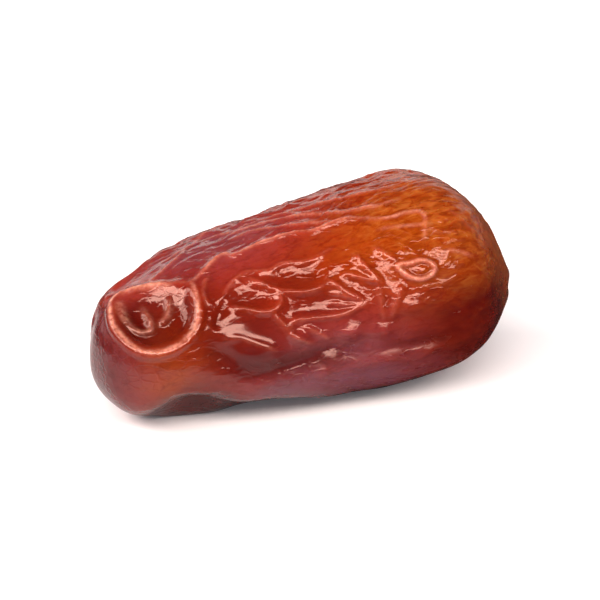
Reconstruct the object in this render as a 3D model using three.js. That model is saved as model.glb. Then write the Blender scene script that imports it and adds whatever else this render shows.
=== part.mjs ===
// A dried date lying on its side, as one grown body: skin, flesh and stone are one solid.
// Millimetres, +Z up. The long axis runs along X, with the blossom tip at -X and the stem end at +X.
// The front, where the skin has drawn up into its strongest wrinkles, faces -Y.
// The origin is on the surface that the date rests on, below the middle of its box.

import * as THREE from 'three';
import { mergeVertices } from 'three/addons/utils/BufferGeometryUtils.js';

// Body. Each list runs from the tip to the stem end in equal steps.
const LENGTH = 42;
const TOP = [14.9, 14.2, 14.6, 15.7, 17.4, 18.1, 12.4];
const UNDERSIDE = [-1.1, -1.4, -0.1, -0.2, -0.2, 0.4, 1.8];
const HALF_WIDTH = [7.8, 8.5, 8.6, 8.9, 9.5, 9.8, 6.9];
const SWAY = [-1.8, 0.2, 0.7, 0.2, -0.7, -0.9, 1.0];

// The widest line lies below the middle, because the soft flesh has sagged.
// This is its height as a share of the thickness.
const SAG = 0.42;

// Powers of the rounded outlines: 2 would be an ellipse, and more is squarer.
const END_POWER = 2.6;
const UPPER_POWER = 2.2;
const LOWER_POWER = 2.6;

// Middle of the finished skin's box, which is moved to the origin.
const MIDDLE_X = -0.16;
const MIDDLE_Y = -0.24;

// Steps of the surface along the body and round it.
const STEPS_ALONG = 74;
const STEPS_ROUND = 78;

// A ridge or a groove is never narrower than the surface's steps can hold.
const LEAST_HALF_WIDTH = 0.65;

// A place on the skin is [mm along from the tip, degrees round], with 0 on top, 90 at the front and 180
// below.
// A ridge has its height and half width in mm, and the places that its crest runs through.
const RIDGES = [
  // The closed rim near the tip, which is higher at the front, with the crumpled skin that lies in it.
  {
    height: 0.3,
    halfWidth: 0.7,
    closed: true,
    route: [[4.4, -3], [3.4, -11], [2.4, -12], [1.7, 0], [1.3, 20], [1.7, 46], [2.6, 58], [4.2, 61],
      [5.9, 58], [7.3, 52], [8.1, 43], [8.5, 33], [8.7, 24], [8, 19], [6.8, 13], [5.6, 4]],
  },
  {
    height: 0.5,
    halfWidth: 0.8,
    route: [[4.4, -3], [3.4, -11], [2.4, -12], [1.7, 0], [1.3, 20], [1.7, 46], [2.6, 58], [4.2, 61],
      [5.9, 58], [7.3, 52], [8.1, 43], [8.5, 33], [8.7, 24]],
  },
  {
    height: 0.5,
    halfWidth: 0.5,
    route: [[2.6, -2], [2.2, 14], [2.3, 29], [3, 39], [3.9, 40], [4.1, 30], [4, 16]],
  },
  { height: 0.2, halfWidth: 0.5, route: [[2.9, -16], [3.8, -8], [4.9, 1], [6, 8], [7, 15]] },
  { height: 0.4, halfWidth: 0.5, route: [[4.8, 38], [5.6, 35], [6.2, 28], [6.4, 20]] },
  { height: 0.35, halfWidth: 0.4, route: [[10.4, 23], [9.7, 27], [9.2, 33], [9, 42]] },

  // Long ridges that run along the top.
  {
    height: 0.42,
    halfWidth: 0.42,
    route: [[8.7, 22], [10.5, 17], [12.6, 11], [13.5, 15], [15.9, 13], [18.8, 13], [21.1, 17],
      [23.5, 16], [25.6, 21]],
  },
  { height: 0.22, halfWidth: 0.4, route: [[25, 20], [27.1, 25], [28.9, 25], [30.2, 29], [29.3, 42]] },
  {
    height: 0.2,
    halfWidth: 0.35,
    route: [[14, -10], [17.6, -10], [21, -4], [23.8, 8], [26.2, 13], [29, 14]],
  },
  {
    height: 0.24,
    halfWidth: 0.35,
    route: [[8.4, -15], [12.3, -17], [16, -14], [19.9, -14], [23.3, -9], [26.5, -2], [30.2, 0]],
  },
  { height: 0.24, halfWidth: 0.35, route: [[14.6, -4], [17.2, -3], [19.7, 5], [21.6, 10], [23.2, 16]] },
  {
    height: 0.24,
    halfWidth: 0.35,
    route: [[5.2, 3], [7.6, -3], [9.7, -9], [12.5, -22], [16.2, -30], [21, -27], [25.5, -20]],
  },
  { height: 0.22, halfWidth: 0.35, route: [[15.6, -24], [18, -19], [20.2, -13], [21.7, -5], [22.9, 1]] },

  // The net between them and the blister: dishes with thin rims that fork and meet.
  {
    height: 0.28,
    halfWidth: 0.4,
    route: [[10.2, 42], [11.8, 34], [13.6, 30], [15.4, 34], [16.8, 32], [19, 35], [21.4, 32]],
  },
  { height: 0.45, halfWidth: 0.42, route: [[13.4, 34], [14.6, 42], [16.4, 49], [18.5, 52], [19.8, 50]] },
  {
    height: 0.42,
    halfWidth: 0.42,
    route: [[11, 47], [11.9, 50], [13.2, 55], [14.4, 57], [15.2, 55], [15.5, 51], [15.4, 42]],
  },
  { height: 0.36, halfWidth: 0.4, route: [[14.4, 57], [15.1, 65], [15.7, 71]] },
  {
    height: 0.36,
    halfWidth: 0.4,
    route: [[15.9, 71], [16.1, 66], [17.6, 66], [20.2, 68], [21.9, 67], [23, 65]],
  },
  { height: 0.36, halfWidth: 0.35, route: [[20, 48], [21.1, 56], [22.7, 64]] },
  { height: 0.3, halfWidth: 0.3, route: [[20, 55], [21.4, 60], [22.7, 64]] },
  { height: 0.26, halfWidth: 0.3, route: [[19.8, 61], [21.2, 64], [22.6, 65]] },
  { height: 0.32, halfWidth: 0.35, route: [[15.2, 69], [16.4, 76], [17.8, 81]] },
  { height: 0.28, halfWidth: 0.35, route: [[16.9, 69], [18.2, 75], [19.4, 81]] },

  // The ledge across the blister.
  { height: 0.17, halfWidth: 0.45, route: [[9.8, 64], [11, 66], [12.2, 71], [13.4, 76], [14.4, 80]] },

  // The eye-shaped loop and the short ridges round it.
  { height: 0.42, halfWidth: 0.4, route: [[22.9, 39], [23.4, 47], [24.5, 58]] },
  { height: 0.34, halfWidth: 0.35, route: [[21.7, 48], [23.3, 54], [24.5, 58]] },
  {
    height: 0.4,
    halfWidth: 0.3,
    closed: true,
    route: [[26.1, 52], [27.2, 52.5], [28.3, 52.5], [29.2, 55.5], [29.3, 59], [28.7, 61], [27.7, 61],
      [26.8, 58]],
  },
  { height: 0.3, halfWidth: 0.4, route: [[24.7, 39], [26.2, 50]] },
  { height: 0.3, halfWidth: 0.35, route: [[24.1, 58], [24.1, 66], [24.2, 76]] },
  { height: 0.34, halfWidth: 0.5, route: [[26.2, 61], [25.5, 68], [24.8, 76]] },

  // Soft folds on the smooth shoulder before the stem end.
  { height: 0.12, halfWidth: 0.9, route: [[31.2, 78], [31.9, 90], [32.7, 105]] },
  { height: 0.14, halfWidth: 0.35, route: [[25.8, 30], [28.4, 33], [30.4, 36]] },
  { height: 0.12, halfWidth: 0.35, route: [[32.4, 29], [33.2, 36], [34, 44]] },
  { height: 0.2, halfWidth: 0.4, route: [[30.8, 51], [32, 54], [33.3, 58]] },
];

// A groove has its depth and half width in mm, and the places that it runs through.
const GROOVES = [
  // The deep fold under the blister, and a shallower one that goes on from it.
  {
    depth: 0.45,
    halfWidth: 1.1,
    route: [[7.6, 58], [8.4, 68], [9.9, 78], [12.4, 89], [15.4, 93], [18.2, 89], [20.6, 87], [25, 88]],
  },
  { depth: 0.3, halfWidth: 0.6, route: [[23.4, 93], [27.6, 96], [31.6, 103]] },
  { depth: 0.25, halfWidth: 0.5, route: [[8.9, 56], [9.9, 50], [10.8, 42]] },

  // The hollow under the front edge of the belly, where the sagging flesh hangs clear of the surface below.
  { depth: 0.7, halfWidth: 1.6, route: [[8, 146], [14, 150], [20, 148], [27, 142], [36, 132]] },
];

// A swelling has its height in mm, or its depth where that is below 0, its half length along the body and
// its half width across it in mm, and its place. A steeper one has a flatter middle.
const SWELLINGS = [
  // The smooth blister at the front, and the roll below it.
  { height: 0.4, halfLength: 2.6, halfWidth: 1.5, place: [12.8, 84] },
  { height: 0.2, halfLength: 5, halfWidth: 2, place: [16.8, 108] },

  // The dish inside the rim near the tip.
  { height: -1.15, halfLength: 3.3, halfWidth: 2.7, place: [4.6, 34], steepness: 2.6 },

  // Dishes of the net.
  { height: -0.35, halfLength: 2.2, halfWidth: 1.3, place: [17.4, 43] },
  { height: -0.25, halfLength: 2, halfWidth: 1.2, place: [12.9, 46] },
  { height: -0.3, halfLength: 2.2, halfWidth: 1.2, place: [18.6, 60] },

  // Small raised blobs.
  { height: 0.3, halfLength: 0.9, halfWidth: 0.5, place: [16.6, 75] },
  { height: 0.38, halfLength: 1.1, halfWidth: 0.7, place: [21.2, 79] },
  { height: 0.38, halfLength: 1.1, halfWidth: 0.7, place: [24, 82] },
  { height: 0.34, halfLength: 1.3, halfWidth: 0.65, place: [26.9, 73] },
  { height: 0.36, halfLength: 0.9, halfWidth: 0.6, place: [19.4, 92] },
  { height: 0.25, halfLength: 0.8, halfWidth: 0.5, place: [28.2, 57] },

  // The arch between the foot at the tip and the belly, and its lower end along the belly.
  { height: -2.7, halfLength: 3.6, halfWidth: 3.6, place: [7.2, 134] },
  { height: -0.8, halfLength: 4.5, halfWidth: 1.8, place: [13.5, 138] },

  // The flat above the stem end.
  { height: -0.8, halfLength: 2, halfWidth: 3, place: [40.6, 8] },
];

// Everywhere else the skin has a net of wrinkles, which lie along the body.
const NET_CELLS = 120;
const NET_SEED = 7;
const NET_STRETCH = 2.4;
const NET_HEIGHT = 0.6;
const NET_HALF_WIDTH = 0.55;
const NET_SCATTER = 2.2;
const NET_WANDER = 0.55;

// The stem end: a dimple with the stub of the stem in it, and folds that run in to it from all round.
const DIMPLE_DEPTH = 1.0;
const DIMPLE_RADIUS = 2.4;
const STUB_HEIGHT = 0.5;
const STUB_RADIUS = 0.9;
const STEM_FOLDS = 9;
const STEM_FOLD_HEIGHT = 0.14;

const GOLDEN_ANGLE = Math.PI * (3 - Math.sqrt(5));
const ROUTE_STEPS = 6;

// 0 below one value, 1 above the other, and an even rise between them.
function ramp(value, from, to) {
  const share = THREE.MathUtils.clamp((value - from) / (to - from), 0, 1);
  return share * share * (3 - 2 * share);
}

// A smooth curve through evenly spaced stations, with place -1 at the first and 1 at the last.
function through(stations, place) {
  const last = stations.length - 1;
  const step = THREE.MathUtils.clamp(((place + 1) / 2) * last, 0, last - 1e-9);
  const index = Math.floor(step);
  const share = step - index;
  const station = (k) => stations[THREE.MathUtils.clamp(index + k, 0, last)];
  const [before, from, to, after] = [-1, 0, 1, 2].map(station);
  const bend = 2 * before - 5 * from + 4 * to - after;
  const twist = 3 * (from - to) + after - before;
  return from + 0.5 * share * (to - before + share * (bend + share * twist));
}

// Radius of a rounded square of half width 1 in a direction.
function roundedSquare(angle, power) {
  return (Math.abs(Math.cos(angle)) ** power + Math.abs(Math.sin(angle)) ** power) ** (-1 / power);
}

// A point of the body: x from -1 at the tip to 1 at the stem end, the section's size there from 0 to 1,
// and the angle round it.
function bodyPoint(x, size, angle) {
  const low = through(UNDERSIDE, x);
  const thickness = through(TOP, x) - low;
  const centre = low + thickness * (SAG + (0.5 - SAG) * (1 - size));
  const above = Math.cos(angle) > 0;
  const reach = size * roundedSquare(angle, above ? UPPER_POWER : LOWER_POWER);
  const share = above ? 1 - SAG : SAG;
  return new THREE.Vector3(
    (x * LENGTH) / 2,
    through(SWAY, x) - reach * through(HALF_WIDTH, x) * Math.sin(angle),
    centre + reach * thickness * share * Math.cos(angle),
  );
}

// The smooth body, from 0 at the tip to 1 at the stem end.
function smoothBody(along, angle) {
  const turn = Math.PI * along;
  const radius = roundedSquare(turn, END_POWER);
  return bodyPoint(-radius * Math.cos(turn), radius * Math.sin(turn), angle);
}

// The point of the smooth body at a place given in mm along and degrees round.
function placeOnSkin([along, round]) {
  const x = THREE.MathUtils.clamp(along / (LENGTH / 2) - 1, -1, 1);
  const size = Math.max(1 - Math.abs(x) ** END_POWER, 0) ** (1 / END_POWER);
  return bodyPoint(x, size, THREE.MathUtils.degToRad(round));
}

// Outward direction of the smooth body. It is taken a little way off the two ends, where the sections shrink
// to a point.
function outward(along, angle) {
  const small = 1e-3;
  const near = THREE.MathUtils.clamp(along, 0.004, 0.996);
  const lengthwise = smoothBody(near + small, angle).sub(smoothBody(near - small, angle));
  const crosswise = smoothBody(near, angle + small).sub(smoothBody(near, angle - small));
  return crosswise.cross(lengthwise).normalize();
}

// A route as short straight pieces of a smooth curve in space.
function pieces(route, closed = false) {
  const curve = new THREE.CatmullRomCurve3(route.map(placeOnSkin), closed, 'catmullrom', 0.5);
  const points = curve.getPoints(ROUTE_STEPS * (closed ? route.length : route.length - 1));
  return points.slice(1).map((point, k) => new THREE.Line3(points[k], point));
}

// How far a point is from a route, and how far along the route it is, from 0 to 1.
function distanceTo(lines, point) {
  const nearest = { distance: Infinity, share: 0 };
  const foot = new THREE.Vector3();
  lines.forEach((line, k) => {
    const share = line.closestPointToPointParameter(point, true);
    const distance = line.at(share, foot).distanceTo(point);
    if (distance < nearest.distance) {
      nearest.distance = distance;
      nearest.share = (k + share) / lines.length;
    }
  });
  return nearest;
}

// Section of a wrinkle: a crest on a broader tent of skin.
function crest(distance, halfWidth) {
  const width = Math.max(halfWidth, LEAST_HALF_WIDTH);
  return 0.6 * Math.exp(-((distance / width) ** 2)) + 0.4 * Math.exp(-((distance / (2.6 * width)) ** 2));
}

// Crests that meet join at one height: this adds their cubes.
function join(heights) {
  return Math.cbrt(heights.reduce((sum, height) => sum + height ** 3, 0));
}

// Seeded random numbers from 0 to 1.
function randomNumbers(seed) {
  let state = seed;
  return () => {
    state = (state * 16807) % 2147483647;
    return state / 2147483647;
  };
}

// Middles of the net's cells, spread evenly over the body on a spiral and shaken.
function cellMiddles() {
  const random = randomNumbers(NET_SEED);
  return Array.from({ length: NET_CELLS }, (_, k) => {
    const along = Math.acos(1 - (2 * (k + 0.5)) / NET_CELLS) / Math.PI;
    const middle = smoothBody(0.02 + 0.96 * along, GOLDEN_ANGLE * k + 1.4 * random());
    middle.x += NET_SCATTER * (random() - 0.5);
    return middle;
  });
}

// A slow waver of space, so that the net's lines wander.
function wander(point) {
  const { x, y, z } = point;
  return new THREE.Vector3(
    1.5 * Math.sin(0.9 * y + 0.5 * z + 1.0),
    Math.sin(0.55 * x + 0.7 * z + 2.0) + 0.5 * Math.sin(1.3 * x - 0.9 * y),
    Math.sin(0.6 * x - 0.8 * y + 4.0) + 0.5 * Math.sin(1.2 * x + 1.1 * z + 1.7),
  ).multiplyScalar(NET_WANDER).add(point);
}

// Distance to the nearest border between two cells of the net.
function distanceToNet(point, middles) {
  const moved = wander(point);
  let first = Infinity;
  let second = Infinity;
  for (const middle of middles) {
    const distance = Math.hypot((moved.x - middle.x) / NET_STRETCH, moved.y - middle.y, moved.z - middle.z);
    second = Math.min(second, Math.max(first, distance));
    first = Math.min(first, distance);
  }
  return (second - first) / 2;
}

// How strong the net is: full on the flanks and the back, little on the belly, the foot and the front of the
// shoulder, and little where the front has its own ridges.
function netStrength(along, round) {
  const belly = ramp(round, 92, 112) * (1 - ramp(round, 215, 235));
  const facing = ramp(round, 20, 50) * (1 - ramp(round, 200, 240));
  const tip = ramp(along, 0.5, 3 + 6 * facing);
  const shoulder = 1 - ramp(along, 32, 38) * (0.4 + 0.45 * facing);
  const fromTop = ((round + 180) % 360) - 180;
  const front = ramp(fromTop, -30, -15) * (1 - ramp(fromTop, 92, 104));
  const drawn = front * ramp(along, 0, 3) * (1 - ramp(along, 36, 40));
  return tip * shoulder * (1 - 0.9 * belly) * (1 - 0.85 * drawn);
}

const ridgeLines = RIDGES.map(({ route, closed }) => pieces(route, closed));
const grooveLines = GROOVES.map(({ route }) => pieces(route));
const swellingMiddles = SWELLINGS.map(({ place }) => placeOnSkin(place));
const netMiddles = cellMiddles();
const scarMiddle = smoothBody(1, 0);

// Height of the ridges and the net at a point. An open ridge runs out at both ends.
function wrinkles(point, along, round) {
  const heights = RIDGES.map(({ height, halfWidth, closed }, k) => {
    const { distance, share } = distanceTo(ridgeLines[k], point);
    const fade = closed ? 1 : Math.min(ramp(share, -0.15, 0.2), ramp(1 - share, -0.15, 0.2));
    return height * fade * crest(distance, halfWidth);
  });
  const net = crest(distanceToNet(point, netMiddles), NET_HALF_WIDTH);
  return join([...heights, NET_HEIGHT * netStrength(along, round) * net]);
}

// Depth of the grooves at a point.
function grooves(point) {
  return GROOVES.reduce((sum, { depth, halfWidth }, k) => {
    const { distance, share } = distanceTo(grooveLines[k], point);
    const fade = Math.min(ramp(share, -0.05, 0.25), ramp(1 - share, -0.05, 0.25));
    return sum + depth * fade * Math.exp(-((distance / Math.max(halfWidth, LEAST_HALF_WIDTH)) ** 2));
  }, 0);
}

// Height of the swellings at a point.
function swellings(point) {
  return SWELLINGS.reduce((sum, { height, halfLength, halfWidth, steepness = 1.3 }, k) => {
    const offset = point.clone().sub(swellingMiddles[k]);
    const reach = (offset.x / halfLength) ** 2 + (Math.hypot(offset.y, offset.z) / halfWidth) ** 2;
    return sum + height * Math.exp(-(reach ** steepness));
  }, 0);
}

// Height of the stem end's relief at a point.
function stemEnd(point, angle) {
  const distance = point.distanceTo(scarMiddle);
  const folds = ramp(distance, 0.8, 2.2) * (1 - ramp(distance, 3, 7));
  const wave = Math.cos(STEM_FOLDS * angle + 1.2 * Math.sin(2 * angle) + 0.8 * Math.sin(angle));
  const dimple = -DIMPLE_DEPTH * Math.exp(-((distance / DIMPLE_RADIUS) ** 2));
  const stub = STUB_HEIGHT * Math.exp(-((distance / STUB_RADIUS) ** 4));
  return STEM_FOLD_HEIGHT * folds * wave + dimple + stub;
}

// The finished skin. Where the weight presses it on the surface below, it is flat.
function skin(along, angle) {
  const point = smoothBody(along, angle);
  const mm = point.x + LENGTH / 2;
  const round = THREE.MathUtils.euclideanModulo(THREE.MathUtils.radToDeg(angle), 360);
  const height = wrinkles(point, mm, round) - grooves(point) + swellings(point) + stemEnd(point, angle);
  point.addScaledVector(outward(along, angle), height);
  point.z = Math.max(point.z, 0);
  return point.sub(new THREE.Vector3(MIDDLE_X, MIDDLE_Y, 0));
}

// A sphere's net of faces, with its axis laid along X and each vertex moved to the skin.
function skinGeometry() {
  const sphere = new THREE.SphereGeometry(1, STEPS_ROUND, STEPS_ALONG);
  sphere.deleteAttribute('normal');
  sphere.deleteAttribute('uv');
  const geometry = mergeVertices(sphere);
  const position = geometry.attributes.position;
  const direction = new THREE.Vector3();
  for (let k = 0; k < position.count; k += 1) {
    direction.fromBufferAttribute(position, k);
    const along = 1 - Math.acos(THREE.MathUtils.clamp(direction.y, -1, 1)) / Math.PI;
    const point = skin(along, Math.atan2(-direction.z, direction.x));
    position.setXYZ(k, point.x, point.y, point.z);
  }
  geometry.computeVertexNormals();
  return geometry;
}

function dateFruit() {
  const material = new THREE.MeshStandardMaterial({ color: 0x8a2f16, roughness: 0.28, metalness: 0 });
  const mesh = new THREE.Mesh(skinGeometry(), material);
  mesh.name = 'date_fruit';
  return mesh;
}

const date = new THREE.Group();
date.add(dateFruit());

export default date;
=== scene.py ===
# %% [markdown]
# # A dried date
#
# This lesson dresses one dried date that was first made as a plain CAD solid. A date shrinks as it dries: the
# flesh loses water, the skin keeps its area, and so it draws up into glossy ridges with dishes between them.
# The solid already has the body and the main ridges. Here they get a finer skin, the colour and gloss of
# sugary flesh seen through that skin, and a bright, soft studio.
#
# The first cell loads the solid. It is the frame that everything else is fitted to.

# %% Load the CAD frame
import math
from collections import namedtuple

import bpy
import numpy as np
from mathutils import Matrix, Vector
from mathutils.bvhtree import BVHTree
from mathutils.noise import ridged_multi_fractal


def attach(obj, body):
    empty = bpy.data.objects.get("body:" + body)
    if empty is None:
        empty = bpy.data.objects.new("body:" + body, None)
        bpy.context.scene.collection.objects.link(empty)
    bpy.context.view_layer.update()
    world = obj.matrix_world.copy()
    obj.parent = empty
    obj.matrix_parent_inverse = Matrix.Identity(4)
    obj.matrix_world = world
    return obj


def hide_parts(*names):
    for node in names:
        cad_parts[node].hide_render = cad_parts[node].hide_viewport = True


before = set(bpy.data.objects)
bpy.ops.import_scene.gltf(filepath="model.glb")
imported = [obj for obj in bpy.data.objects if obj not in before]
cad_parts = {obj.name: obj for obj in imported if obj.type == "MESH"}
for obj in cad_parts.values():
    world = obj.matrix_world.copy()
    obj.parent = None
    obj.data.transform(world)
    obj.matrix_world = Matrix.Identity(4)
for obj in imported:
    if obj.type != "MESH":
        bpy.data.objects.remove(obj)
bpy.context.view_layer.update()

MM = 0.001

# %% [markdown]
# ## The camera
#
# The picture looks on the date from a little above the table, with its tip turned towards the camera. The
# camera could be placed by eye, but the outline of the date fixes it: the turn, the rise and the scale are
# the values that make the body's outline fall on the one in the picture. A long lens keeps the far end from
# shrinking. The date fills the frame, because it is the only thing shown.

# %% Camera
SHOT_TURN = math.radians(-28)
SHOT_RISE = math.radians(23)
SHOT_DISTANCE = 450 * MM
SHOT_AIM = Vector((-0.06, 0.24, 8.17)) * MM
PIXELS_PER_MM = 11.26
FRAME_PIXELS = 600
SENSOR_MM = 36


def direction_from(turn, rise):
    """Unit vector towards a place turned round the object from the front and raised above the table."""
    return Vector((math.sin(turn) * math.cos(rise), -math.cos(turn) * math.cos(rise), math.sin(rise)))


def look_along(direction):
    """Rotation that points a camera or a lamp against a direction, with its top upwards."""
    return (-direction).to_track_quat("-Z", "Y").to_euler()


bpy.ops.object.select_all(action="DESELECT")
toward_camera = direction_from(SHOT_TURN, SHOT_RISE)
bpy.ops.object.camera_add(location=SHOT_AIM + toward_camera * SHOT_DISTANCE,
                          rotation=look_along(toward_camera))
camera = bpy.context.object
camera.name = "camera"
frame_width = FRAME_PIXELS / PIXELS_PER_MM * MM
camera.data.sensor_width = SENSOR_MM
camera.data.lens = SENSOR_MM * SHOT_DISTANCE / frame_width
bpy.context.scene.camera = camera
print("lens in mm:", round(camera.data.lens, 1))

# %% [markdown]
# ## The body in numbers
#
# The smooth body under the wrinkles could be sculpted, but then the fine skin would drift from the CAD solid.
# Instead it is the same formula as in the solid: a few stations from the tip to the stem end give the top,
# the underside, the half width and the sideways sway, and a smooth curve runs through them. Everything is in
# millimetres until the last step. A section is a slightly squared ellipse whose widest line lies low, because
# the soft flesh has sagged.

# %% The smooth body
LENGTH = 42
TOP = np.array([14.9, 14.2, 14.6, 15.7, 17.4, 18.1, 12.4])
UNDERSIDE = np.array([-1.1, -1.4, -0.1, -0.2, -0.2, 0.4, 1.8])
HALF_WIDTH = np.array([7.8, 8.5, 8.6, 8.9, 9.5, 9.8, 6.9])
SWAY = np.array([-1.8, 0.2, 0.7, 0.2, -0.7, -0.9, 1.0])
SAG = 0.42
END_POWER = 2.6
UPPER_POWER = 2.2
LOWER_POWER = 2.6
MIDDLE = np.array([-0.16, -0.24, 0.0])


def through(stations, place):
    """A smooth curve through evenly spaced stations, with place -1 at the first and 1 at the last."""
    last = len(stations) - 1
    step = np.clip((place + 1) / 2 * last, 0, last - 1e-9)
    index = np.floor(step).astype(int)
    share = step - index
    before, start, end, after = (stations[np.clip(index + k, 0, last)] for k in (-1, 0, 1, 2))
    bend = 2 * before - 5 * start + 4 * end - after
    twist = 3 * (start - end) + after - before
    return start + 0.5 * share * (end - before + share * (bend + share * twist))


def rounded_square(angle, power):
    """Radius of a rounded square of half width 1 in a direction."""
    return (np.abs(np.cos(angle)) ** power + np.abs(np.sin(angle)) ** power) ** (-1 / power)


def body_point(x, size, angle):
    """Points of the body, by x from -1 at the tip to 1 at the stem end, the size of the section there and the
    angle round it."""
    low = through(UNDERSIDE, x)
    thickness = through(TOP, x) - low
    centre = low + thickness * (SAG + (0.5 - SAG) * (1 - size))
    above = np.cos(angle) > 0
    reach = size * rounded_square(angle, np.where(above, UPPER_POWER, LOWER_POWER))
    share = np.where(above, 1 - SAG, SAG)
    across = through(SWAY, x) - reach * through(HALF_WIDTH, x) * np.sin(angle)
    upwards = centre + reach * thickness * share * np.cos(angle)
    return np.stack([x * LENGTH / 2 + 0 * across, across, upwards], -1)


def smooth_body(along, angle):
    """The smooth body, from 0 at the tip to 1 at the stem end."""
    turn = np.pi * along
    radius = rounded_square(turn, END_POWER)
    return body_point(-radius * np.cos(turn), radius * np.sin(turn), angle)


def place_on_skin(along, around):
    """The point of the smooth body so many mm along from the tip and so many degrees round from the top."""
    x = np.clip(along / (LENGTH / 2) - 1, -1, 1)
    size = np.maximum(1 - np.abs(x) ** END_POWER, 0) ** (1 / END_POWER)
    return body_point(x, size, np.radians(around))


def outward(along, angle):
    """Unit outward direction of the smooth body."""
    small = 1e-3
    near = np.clip(along, 0.004, 0.996)
    lengthwise = smooth_body(near + small, angle) - smooth_body(near - small, angle)
    crosswise = smooth_body(near, angle + small) - smooth_body(near, angle - small)
    normal = np.cross(crosswise, lengthwise)
    return normal / np.linalg.norm(normal, axis=1, keepdims=True)


print("thickest station in mm:", round(float((TOP - UNDERSIDE).max()), 1))

# %% [markdown]
# ## Where the ridges run
#
# On the real date the front has drawn up into ridges that can be told apart: a closed rim near the tip with
# crumpled skin in its dish, long thin ridges along the top, a net of short ones round a smooth blister, and a
# small eye-shaped loop. A noise texture would give wrinkles, but never these. So each is written down as a
# height, a half width and the places that its crest runs through. A place is given in mm along from the tip
# and in degrees round, with 0 on top, 90 at the front and 180 below.
#
# Along each crest a pale line is painted, a painted highlight for the light that a thin glossy crest catches.
# A ridge says how strong that line is, from 0 to 1, and its half width in mm. Most have only a faint one.

# %% Ridges, grooves and swellings
Ridge = namedtuple("Ridge", "height half_width closed route pale line", defaults=[0.12, 0.17])
Groove = namedtuple("Groove", "depth half_width route")
Swelling = namedtuple("Swelling", "height half_length half_width place steepness", defaults=[1.3])

RIM = [(4.4, -3), (3.4, -11), (2.4, -12), (1.7, 0), (1.3, 20), (1.7, 46), (2.6, 58), (4.2, 61), (5.9, 58),
       (7.3, 52), (8.1, 43), (8.5, 33), (8.7, 24)]

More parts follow.
